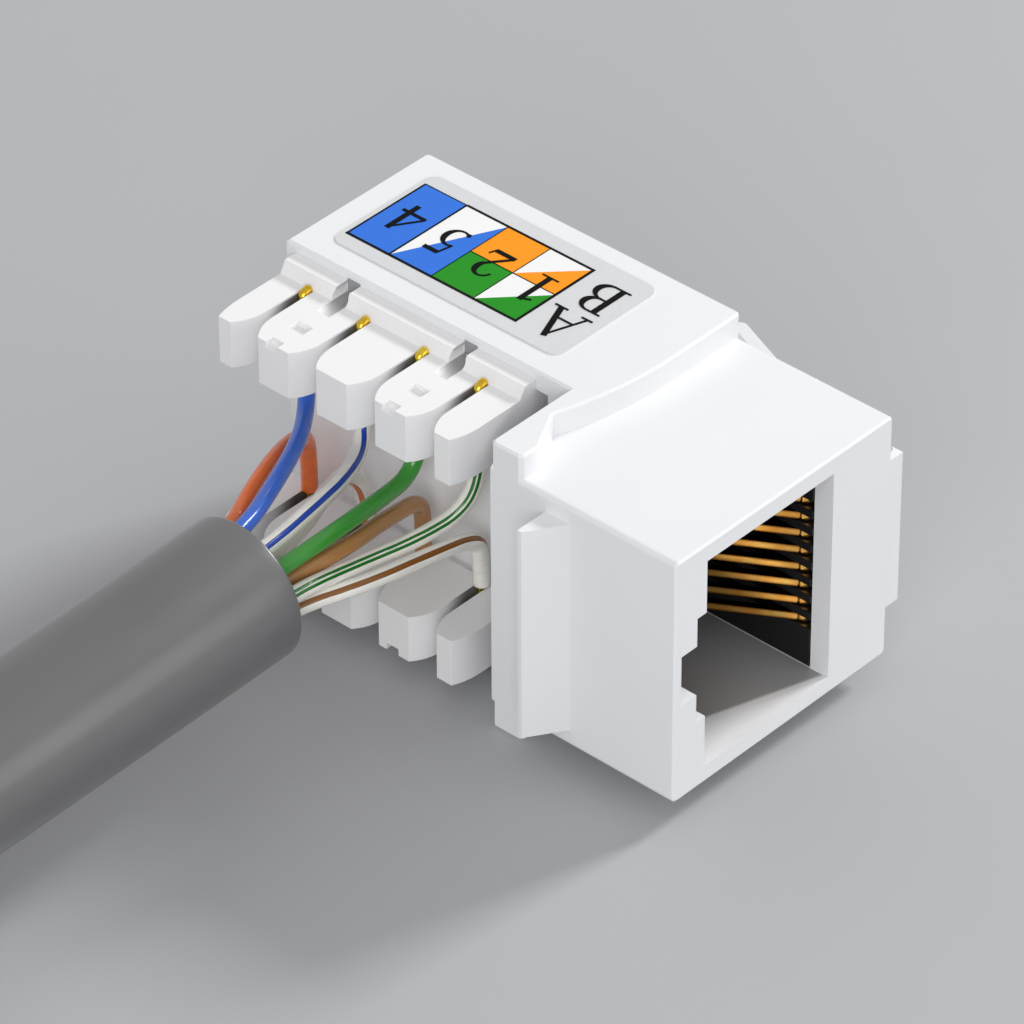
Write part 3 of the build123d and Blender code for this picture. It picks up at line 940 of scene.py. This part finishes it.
WIRES = (
    Wire(
        "blue", (0.9, 2.35), ((-11.0, 23.3, 10.65), (-7.0, 25.4, 10.1), (-4.5, 27.3, 9.8)),
        Row.UPPER, 1, srgb(58, 112, 222),
    ),
    Wire(
        "white_blue", (-0.65, 2.1), ((-11.0, 20.9, 10.3), (-7.2, 22.05, 9.7), (-4.5, 23.5, 9.4)),
        Row.UPPER, 2, CREAM, srgb(28, 70, 180),
    ),
    Wire(
        "green", (-1.6, 1.4), ((-11.0, 19.15, 9.95), (-7.2, 19.8, 9.4), (-4.7, 20.1, 9.3)),
        Row.UPPER, 3, srgb(64, 156, 58),
    ),
    Wire(
        "white_green", (-2.55, 0.45), ((-10.5, 18.35, 7.95), (-7.0, 17.5, 8.0), (-4.6, 16.65, 8.85)),
        Row.UPPER, 4, CREAM, srgb(30, 120, 36), pale_line=0.12,
    ),
    Wire(
        "orange", (1.95, 1.6), ((-11.0, 24.75, 9.8), (-7.1, 26.5, 9.2), (-4.3, 27.6, 8.0)),
        Row.LOWER, 1, srgb(254, 120, 46),
    ),
    Wire(
        "white_orange", (-0.2, 0.8), ((-11.0, 21.4, 8.9), (-7.2, 23.2, 8.6), (-5.0, 24.0, 7.8)),
        Row.LOWER, 2, CREAM, srgb(226, 124, 56), tracer_angles=(236.0, 236.0),
    ),
    Wire(
        "brown", (-1.3, 0.35), ((-11.0, 18.8, 8.9), (-7.0, 19.65, 8.15), (-3.95, 20.1, 7.5)),
        Row.LOWER, 3, srgb(182, 130, 76),
    ),
    Wire(
        "white_brown", (-2.05, -0.85), ((-11.1, 17.2, 7.75), (-7.2, 16.65, 7.5), (-4.05, 16.27, 7.15)),
        Row.LOWER, 4, CREAM, srgb(140, 88, 36),
    ),
)


@dataclass
class Cable:
    """The grey jacket, its packed wires and the eight wires laid into the slots.

    The jacket's points have heights over the table. The points of the conductor's bend are out from its
    slot and up from the teeth's tops.
    """

    diameter: float = 7.8
    wall: float = 0.75
    rim: float = 0.16
    rim_rings: int = 6
    jacket_rings: int = 148
    jacket_columns: int = 96
    jacket_spacing: float = 0.6
    jacket_points: tuple[Point, ...] = (
        (-15.8, 20.7, 8.5),
        (-36.0, 21.0, 7.55),
        (-61.0, 23.6, 4.55),
        (-84.0, 29.2, 3.95),
    )
    wire_diameter: float = 0.88
    wire_edge: float = 0.05
    wire_inside: float = 1.5
    wire_straight: float = 0.9
    wire_rings: int = 110
    wire_columns: int = 40
    wire_spacing: float = 0.15
    pack_radius: float = 1.45
    pack_lay: float = 14.0
    pack_blend: float = 9.0
    pack_end: float = 0.1
    pack_columns: int = 20
    conductor_diameter: float = 0.5
    conductor_rounding: float = 0.2
    conductor_bend: tuple[Flat, ...] = ((0.0, -2.85), (0.0, -0.9), (-0.17, -0.32), (-0.1, 0.06), (0.4, 0.16))
    conductor_x: float = -3.75
    conductor_rings: int = 39
    conductor_tip_rings: int = 7
    conductor_columns: int = 24
    conductor_spacing: float = 0.04
    inner_face: float = 4.65
    tooth_height: float = 2.75
    line: FramedLine = field(init=False)

    def __post_init__(self) -> None:
        """Lays the jacket's smooth line."""
        route = np.array(self.jacket_points) + [0.0, 0.0, TABLE_Z]
        self.line = FramedLine(spline_points([tuple(point) for point in route], self.jacket_spacing))

    def mouth(self) -> tuple[np.ndarray, np.ndarray]:
        """Finds where the wires leave the core.

        Returns:
            The middle of the core's end, and its directions: across, up and out of the jacket.
        """
        first, second = np.array(self.jacket_points[:2])
        outward = (first - second) / np.linalg.norm(first - second)
        across = np.array([0.0, 1.0, 0.0]) - outward * outward[1]
        across /= np.linalg.norm(across)
        start = first + [0.0, 0.0, TABLE_Z] - outward * self.wire_inside
        return start, np.stack([across, np.cross(outward, across), outward])

    def jacket(self) -> bpy.types.Object:
        """Makes the jacket as one closed skin: out along its outside, over the cut rim and back inside.

        Its rings lie at (distance, radius): the outside at radius R, a quarter round of the rim's radius
        at each end, and the inside at R minus the wall.

        Returns:
            The piece.
        """
        length, outer = self.line.length, self.diameter / 2
        inner = outer - self.wall
        turn = np.linspace(0.0, math.pi / 2, self.rim_rings)
        sink, shrink = self.rim * (1 - np.sin(turn)), self.rim * (1 - np.cos(turn))
        straight = np.linspace(self.rim, length - self.rim, self.jacket_rings + 2)[1:-1]
        flat = np.zeros(self.jacket_rings)
        outwards = np.concatenate([sink[::-1], straight, length - sink])
        inset = np.concatenate([shrink[::-1], flat, shrink])
        distance = np.concatenate([outwards, outwards[::-1]])
        radius = np.concatenate([outer - inset, inner + inset])
        rows = self.line.rings(distance, radius, self.jacket_columns)
        piece = link_object("cable_jacket_tube", ring_mesh("cable_jacket_tube", rows, True))
        JACKET_GREY.dress(piece)
        return settle(piece, "jack", "jacket_plastic", "cable_jacket")

    def wire_run(self, start: float, end: float) -> tuple[np.ndarray, np.ndarray]:
        """Places the rings of a wire whose two edges are broken.

        Args:
            start: where the wire starts along its line.
            end: where it ends.

        Returns:
            The rings' distances along the line, and their radii.
        """
        radius, edge = self.wire_diameter / 2, self.wire_edge
        straight = np.linspace(start + edge, end - edge, self.wire_rings)
        distance = np.concatenate([[start], straight, [end]])
        return distance, np.concatenate([[radius - edge], np.full(self.wire_rings, radius), [radius - edge]])

    def packed_wire(self, wire: Wire, index: int) -> bpy.types.Object:
        """Makes one of the eight wires packed inside the jacket, from the mouth to the cable's cut end.

        Its offset moves in a smooth step from its place in the mouth to its place in the pack. There, pair
        p lies pack_radius from the axis at 90 p + 45 degrees, and the pair's two wires stand half a wire
        each side of that, along a direction that turns once in each lay. Its cut end shows the conductor.

        Args:
            wire: the wire.
            index: its number from 0, which gives its pair and its place in the pair.

        Returns:
            The piece.
        """
        distance, size = self.wire_run(self.wire_inside, self.line.length - self.pack_end)
        distance, size = np.append(distance, distance[-1]), np.append(size, self.conductor_diameter / 2)
        pair, member = index // 2, 1 - 2 * (index % 2)
        angle = math.radians(90 * pair + 45)
        lay = 2 * math.pi * distance / self.pack_lay + pair
        packed = self.pack_radius * np.array([math.cos(angle), math.sin(angle)])
        packed = packed + member * self.wire_diameter / 2 * np.stack([np.cos(lay), np.sin(lay)], -1)
        share = np.clip((distance - self.wire_inside) / self.pack_blend, 0.0, 1.0)
        share = (share**2 * (3 - 2 * share))[:, None]
        shift = np.array([wire.offset[0], -wire.offset[1]]) * (1 - share) + packed * share
        rows = self.line.rings(distance, size, self.pack_columns, shift)
        column = np.linspace(0.0, 2 * math.pi, self.pack_columns, endpoint=False)
        facing = np.broadcast_to(np.cos(column), rows.shape[:2])
        piece = link_object(f"packed_wire_{wire.colour}", ring_mesh("packed_wire", rows, False, facing))
        wire.finish.dress(piece)
        piece.data.materials.append(CONDUCTOR_GOLD.material())
        piece.data.polygons[-1].material_index = 1
        return settle(piece, "jack", "core_plastic", "cable_core")

    def laid_wire(self, wire: Wire) -> bpy.types.Object:
        """Makes one wire's tube along its smooth line, from the core's end to the bottom of its slot.

        The attribute facing is cos(t - a), with t the angle round the wire and a the tracer's angle, which
        drifts evenly from the first of its two angles to the second.

        Args:
            wire: the wire.

        Returns:
            The piece.
        """
        middle, axes = self.mouth()
        start = middle + wire.offset[0] * axes[0] + wire.offset[1] * axes[1]
        mouth = start + axes[2] * (self.wire_inside + self.wire_straight)
        face = wire.row.value * self.inner_face
        points = [(x, along, TABLE_Z + above) for x, along, above in wire.open_points]
        turn_z = (points[-1][2] + face) / 2
        slot = [(self.conductor_x, wire.slot_y, z) for z in (turn_z, face)]
        line = FramedLine(spline_points([tuple(start), tuple(mouth), *points, *slot], self.wire_spacing))
        distance, size = self.wire_run(0.0, line.length)
        rows = line.rings(distance, size, self.wire_columns)
        column = np.linspace(0.0, -2 * math.pi, self.wire_columns, endpoint=False)
        drift = np.radians(np.interp(distance, [0.0, line.length], wire.tracer_angles))
        facing = np.cos(column[None, :] - drift[:, None])
        name = f"insulated_wire_{wire.colour}"
        piece = link_object(name, ring_mesh(name, rows, False, facing))
        wire.finish.dress(piece)
        return settle(piece, "jack", wire.slot, f"wire_{wire.colour}")

    def conductor(self, wire: Wire) -> bpy.types.Object:
        """Makes the bare wire's end: it comes up through the slot and is bent over in the slot's top.

        Its line is a smooth one through the bend's points. Over the last rounding r the radius is
        R - r + r cos t at the length minus r plus r sin t.

        Args:
            wire: the wire that it ends.

        Returns:
            The piece.
        """
        side, top = wire.row.value, self.inner_face + self.tooth_height
        route = [(self.conductor_x + out, wire.slot_y, side * (top + up)) for out, up in self.conductor_bend]
        line = FramedLine(spline_points(route, self.conductor_spacing))
        radius, rounding = self.conductor_diameter / 2, self.conductor_rounding
        shoulder = line.length - rounding
        turn = np.linspace(0.0, math.pi / 2, self.conductor_tip_rings)
        stem = np.linspace(0.0, shoulder, self.conductor_rings + 1)[:-1]
        distance = np.concatenate([stem, shoulder + rounding * np.sin(turn)])
        size = np.concatenate([np.full(len(stem), radius), radius - rounding + rounding * np.cos(turn)])
        rows = line.rings(distance, size, self.conductor_columns)
        name = f"conductor_end_{wire.colour}"
        piece = link_object(name, ring_mesh(name, rows, False))
        CONDUCTOR_GOLD.dress(piece)
        return settle(piece, "jack", "conductor_metal", f"conductor_{wire.colour}")

    def build(self) -> list[bpy.types.Object]:
        """Returns:
            The pieces.
        """
        jacket = self.jacket()
        carried = [self.packed_wire(wire, index) for index, wire in enumerate(WIRES)]
        carried += [self.laid_wire(wire) for wire in WIRES]
        carried += [self.conductor(wire) for wire in WIRES]
        return [jacket, *carried]


@dataclass(frozen=True)
class Bar:
    """A straight stroke between two points, as wide as its width."""

    start: Flat
    end: Flat
    width: float

    def outline(self) -> np.ndarray:
        """Moves each end half the width to either side.

        Returns:
            The stroke's four corners.
        """
        start, end = np.array(self.start), np.array(self.end)
        side = np.array([-(end - start)[1], (end - start)[0]])
        side = side / np.linalg.norm(side) * self.width / 2
        return np.array([start - side, end - side, end + side, start + side])


@dataclass(frozen=True)
class Bow:
    """A curved stroke along an ellipse, thin at its ends and thick at one angle, in degrees."""

    centre: Flat
    radii: Flat
    start: float
    end: float
    thin: float
    thick: float
    heavy: float = 0.0
    steps: int = 40

    def outline(self) -> np.ndarray:
        """Goes along the outer edge and back along the inner edge.

        Point t lies at centre + radii times (cos t, sin t), and half the width to either side of it
        along (cos t, sin t); the width goes from thin to thick with the square of cos(t - heavy).

        Returns:
            The stroke's corners, anticlockwise.
        """
        turn = np.radians(np.linspace(self.start, self.end, self.steps))
        ray = np.stack([np.cos(turn), np.sin(turn)], -1)
        swell = np.maximum(np.cos(turn - math.radians(self.heavy)), 0.0) ** 2
        half = (self.thin + (self.thick - self.thin) * swell)[:, None] / 2
        middle = np.array(self.centre) + ray * np.array(self.radii)
        outer, inner = middle + ray * half, middle - ray * half
        ordered = np.concatenate([outer, inner[::-1]])
        return ordered if self.end > self.start else ordered[::-1]


# Each glyph's strokes are measured in its own height, from its lower left corner.
SERIF_GLYPHS: dict[str, tuple[Bar | Bow, ...]] = {
    "1": (
        Bar((0.34, 0.0), (0.34, 1.0), 0.13),
        Bar((0.35, 0.965), (0.12, 0.86), 0.05),
        Bar((0.12, 0.02), (0.56, 0.02), 0.04),
    ),
    "2": (
        Bow((0.29, 0.7), (0.21, 0.25), 165.0, -42.0, 0.05, 0.14, 10.0),
        Bar((0.46, 0.56), (0.06, 0.07), 0.07),
        Bar((0.03, 0.055), (0.56, 0.055), 0.11),
        Bar((0.55, 0.03), (0.62, 0.22), 0.04),
    ),
    "4": (
        Bar((0.47, 0.0), (0.47, 1.0), 0.125),
        Bar((0.48, 0.97), (0.04, 0.31), 0.055),
        Bar((0.02, 0.29), (0.66, 0.29), 0.085),
    ),
    "5": (
        Bar((0.19, 0.945), (0.58, 0.945), 0.11),
        Bar((0.2, 0.95), (0.12, 0.57), 0.05),
        Bow((0.24, 0.33), (0.25, 0.29), 118.0, -125.0, 0.05, 0.14, 10.0),
        Bow((0.1, 0.08), (0.02, 0.02), 0.0, 359.0, 0.07, 0.07),
    ),
    "A": (
        Bar((0.49, 0.99), (0.14, 0.02), 0.05),
        Bar((0.46, 0.99), (0.83, 0.02), 0.13),
        Bar((0.24, 0.34), (0.7, 0.34), 0.045),
        Bar((0.02, 0.02), (0.3, 0.02), 0.04),
        Bar((0.66, 0.02), (1.0, 0.02), 0.04),
    ),
    "B": (
        Bar((0.22, 0.0), (0.22, 1.0), 0.135),
        Bar((0.04, 0.98), (0.42, 0.98), 0.04),
        Bar((0.04, 0.02), (0.44, 0.02), 0.04),
        Bar((0.2, 0.52), (0.44, 0.52), 0.04),
        Bow((0.4, 0.75), (0.24, 0.23), -90.0, 90.0, 0.04, 0.14),
        Bow((0.42, 0.27), (0.28, 0.25), -90.0, 90.0, 0.04, 0.14),
    ),
}


class Ink(Enum):
    """The label's printing inks."""

    BLUE = PrintedFilm("label_ink_blue", srgb(52, 118, 224), sheen_level=0.2)
    GREEN = PrintedFilm("label_ink_green", srgb(32, 146, 26), sheen_level=0.2)
    ORANGE = PrintedFilm("label_ink_orange", srgb(253, 156, 22), sheen_level=0.2)
    WHITE = PrintedFilm("label_ink_white", srgb(246, 246, 246))
    BLACK = PrintedFilm("label_ink_black", (0.003, 0.003, 0.003), roughness=0.5, sheen_level=0.1)


@dataclass
class LabelPrint:
    """What is printed on the label: cells of the wires' colours, rules, four figures and two letters.

    Strokes that cross lie at different heights: each is a stagger over the last, in thicknesses of ink.
    """

    top_z: float = 8.75
    rear_y: float = 28.64
    column: float = 2.81
    near_x: float = 0.06
    split_x: float = 2.96
    far_x: float = 5.78
    ink: float = 0.012
    clearance: float = 0.001
    border: float = 0.15
    thin_border: float = 0.105
    hairline: float = 0.05
    rule_stagger: float = 0.06
    stroke_stagger: float = 0.1
    figure_height: float = 2.4
    letter_height: float = 2.45
    glyph_places: tuple[tuple[str, float, float], ...] = (
        ("4", 2.9, 27.2),
        ("5", 2.86, 24.45),
        ("2", 2.78, 21.55),
        ("1", 2.72, 18.5),
        ("A", 1.25, 15.7),
        ("B", 4.23, 15.5),
    )

    def prism(self, outline: np.ndarray, level: float) -> Prism:
        """Makes a closed sliver of ink over an outline.

        Args:
            outline: its corners in X and Y, in millimetres, anticlockwise from above.
            level: how many inks lie under it.

        Returns:
            Its points and its faces.
        """
        count = len(outline)
        edge = np.full(count, self.top_z)
        low, high = edge + self.clearance, edge + self.ink * (level + 1)
        points = np.concatenate([np.column_stack([outline, low]), np.column_stack([outline, high])])
        index = np.arange(count)
        after = (index + 1) % count
        sides = np.stack([index, after, count + after, count + index], -1).tolist()
        return points, [list(range(count))[::-1], list(range(count, 2 * count)), *sides]

    def printed(self, name: str, ink: Ink, prisms: Sequence[Prism]) -> bpy.types.Object:
        """Joins slivers of one ink into one piece.

        Args:
            name: the piece's name.
            ink: its ink.
            prisms: the slivers.

        Returns:
            The piece.
        """
        points, faces = [], []
        for own_points, own_faces in prisms:
            start = sum(len(earlier) for earlier in points)
            faces += [[start + corner for corner in face] for face in own_faces]
            points.append(own_points)
        mesh = bpy.data.meshes.new(name)
        mesh.from_pydata(np.concatenate(points) * MM, [], faces)
        piece = link_object(name, mesh, smooth=False)
        ink.value.dress(piece)
        return settle(piece, "jack", "label_film")

    def cells(self) -> list[bpy.types.Object]:
        """Prints the cells, whole or cut across from the near rear corner to the far front corner.

        Returns:
            One piece for each ink.
        """
        near, split, far = self.near_x, self.split_x, self.far_x
        bands = (
            (0, near, far, Ink.BLUE, Ink.BLUE),
            (1, near, far, Ink.BLUE, Ink.WHITE),
            (2, near, split, Ink.GREEN, Ink.GREEN),
            (2, split, far, Ink.ORANGE, Ink.ORANGE),
            (3, near, split, Ink.GREEN, Ink.WHITE),
            (3, split, far, Ink.ORANGE, Ink.WHITE),
        )
        slivers: dict[Ink, list[Prism]] = {}
        for column, x0, x1, front_ink, rear_ink in bands:
            rear, front = self.rear_y - self.column * column, self.rear_y - self.column * (column + 1)
            halves = (
                (front_ink, [(x0, front), (x1, front), (x0, rear)]),
                (rear_ink, [(x1, front), (x1, rear), (x0, rear)]),
            )
            for ink, corners in halves:
                slivers.setdefault(ink, []).append(self.prism(np.array(corners), 0))
        return [self.printed(f"label_{ink.name.lower()}_cells", ink, own) for ink, own in slivers.items()]

    def rules(self) -> bpy.types.Object:
        """Prints the black border and the dividing rules.

        Returns:
            The piece.
        """
        near, far, half = self.near_x, self.far_x, self.border / 2
        rear, first, second, third, front = (self.rear_y - self.column * index for index in range(5))
        bars = (
            Bar((near, rear + half), (near, front - half), self.border),
            Bar((far, first), (far, front - half), self.border),
            Bar((near, rear), (far, rear), self.thin_border),
            Bar((near, front), (far, front), self.border),
            Bar((near, first), (far, first), self.thin_border),
            Bar((near, second), (far, second), self.hairline),
            Bar((near, third), (far, third), self.hairline),
            Bar((self.split_x, second), (self.split_x, front), self.hairline),
            Bar((far, rear), (far, first), self.hairline),
        )
        prisms = [self.prism(bar.outline(), 1 + order * self.rule_stagger) for order, bar in enumerate(bars)]
        return self.printed("label_rules", Ink.BLACK, prisms)

    def text(self) -> bpy.types.Object:
        """Prints the figures and letters, whose tops point to -X and which read along +Y.

        A glyph's point (across, up) goes to X = x + (1/2 - up) h and Y = y + (across - middle) h.

        Returns:
            The piece.
        """
        prisms = []
        for glyph, x, y in self.glyph_places:
            height = self.letter_height if glyph.isalpha() else self.figure_height
            outlines = [stroke.outline() for stroke in SERIF_GLYPHS[glyph]]
            reach = np.concatenate(outlines)[:, 0]
            middle = (reach.min() + reach.max()) / 2
            for order, outline in enumerate(outlines):
                across, up = outline.T
                placed = np.column_stack([x + (0.5 - up) * height, y + (across - middle) * height])
                prisms.append(self.prism(placed, 2 + order * self.stroke_stagger))
        return self.printed("label_figures", Ink.BLACK, prisms)

    def build(self) -> list[bpy.types.Object]:
        """Prints the label."""
        return [*self.cells(), self.rules(), self.text()]


@dataclass
class Studio:
    """The floor, the soft lamps and the camera; a lamp has a name, a place, a size and a power."""

    floor_size: float = 4000.0
    floor_colour: Colour = srgb(178, 179, 182)
    target: Point = (0.0, 12.0, 0.0)
    azimuth: float = -47.70
    elevation: float = 37.02
    roll: float = -0.217
    distance: float = 344.54
    slide: Flat = (-4.160, -0.119)
    lens: float = 247.2
    sensor: float = 36.0
    clips_in_metres: Flat = (0.01, 10.0)
    world_strength: float = 0.55
    lamps: tuple[tuple[str, Point, float, float], ...] = (
        ("key", (412.0, -86.0, 300.0), 100.0, 1.6),
        ("side_fill", (-420.0, -260.0, 240.0), 300.0, 1.15),
        ("front_fill", (150.0, -480.0, 180.0), 260.0, 0.26),
    )

    def floor(self) -> None:
        """Lays a wide pale plane at the height the jack rests on."""
        half = self.floor_size / 2
        corners = np.array([(-half, -half), (half, -half), (half, half), (-half, half)])
        mesh = bpy.data.meshes.new("floor")
        mesh.from_pydata(np.column_stack([corners, np.full(4, TABLE_Z)]) * MM, [], [(0, 1, 2, 3)])
        piece = link_object("floor", mesh, smooth=False)
        PrintedFilm("studio_floor", self.floor_colour, roughness=0.6, mottle=0.01, grain=20.0).dress(piece)

    def lights(self) -> None:
        """Sets plain square lamps that face the jack, and an even world."""
        for name, place, size, power in self.lamps:
            lamp = bpy.data.lights.new(f"{name}_lamp", "AREA")
            lamp.size, lamp.energy = size * MM, power
            holder = bpy.data.objects.new(f"{name}_lamp", lamp)
            holder.location = Vector(place) * MM
            aim = Vector(self.target) * MM - holder.location
            holder.rotation_euler = aim.to_track_quat("-Z", "Y").to_euler()
            bpy.context.scene.collection.objects.link(holder)
        world = bpy.data.worlds.new("even_light")
        world.use_nodes = True
        sky = world.node_tree.nodes["Background"]
        sky.inputs["Color"].default_value = (1.0, 1.0, 1.0, 1.0)
        sky.inputs["Strength"].default_value = self.world_strength
        bpy.context.scene.world = world

    def camera(self) -> None:
        """Sets the camera at the photograph's angle: back along the view from the target, slid and rolled."""
        around, above, roll = (math.radians(angle) for angle in (self.azimuth, self.elevation, self.roll))
        level_reach = math.cos(above)
        back = Vector((math.sin(around) * level_reach, -math.cos(around) * level_reach, math.sin(above)))
        level = Vector((-back.y, back.x, 0.0)).normalized()
        upright = back.cross(level)
        right = level * math.cos(roll) + upright * math.sin(roll)
        up = upright * math.cos(roll) - level * math.sin(roll)
        place = Vector(self.target) + back * self.distance + right * self.slide[0] + up * self.slide[1]
        lens = bpy.data.cameras.new("camera")
        lens.lens, lens.sensor_width, lens.sensor_fit = self.lens, self.sensor, "HORIZONTAL"
        lens.clip_start, lens.clip_end = self.clips_in_metres
        holder = bpy.data.objects.new("camera", lens)
        turn = Matrix((right, up, back)).transposed().to_4x4()
        holder.matrix_world = Matrix.Translation(place * MM) @ turn
        bpy.context.scene.collection.objects.link(holder)
        bpy.context.scene.camera = holder

    def build(self) -> None:
        """Sets the floor, the lamps, the camera and the plain view."""
        self.floor()
        self.lights()
        self.camera()
        bpy.context.scene.view_settings.view_transform = "Standard"


def main() -> None:
    """Builds the jack's looks round the frame and reports each piece."""
    logging.basicConfig(level=logging.INFO, format="%(name)s: %(message)s")
    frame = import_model()
    nodes = frame["nodes"]
    Studio().build()
    made = Cable().build() + Housing().build(nodes) + LabelPrint().build()
    for piece in made:
        log.info("%s: %d faces", piece.name, len(piece.data.polygons))


if __name__ == "__main__":
    main()
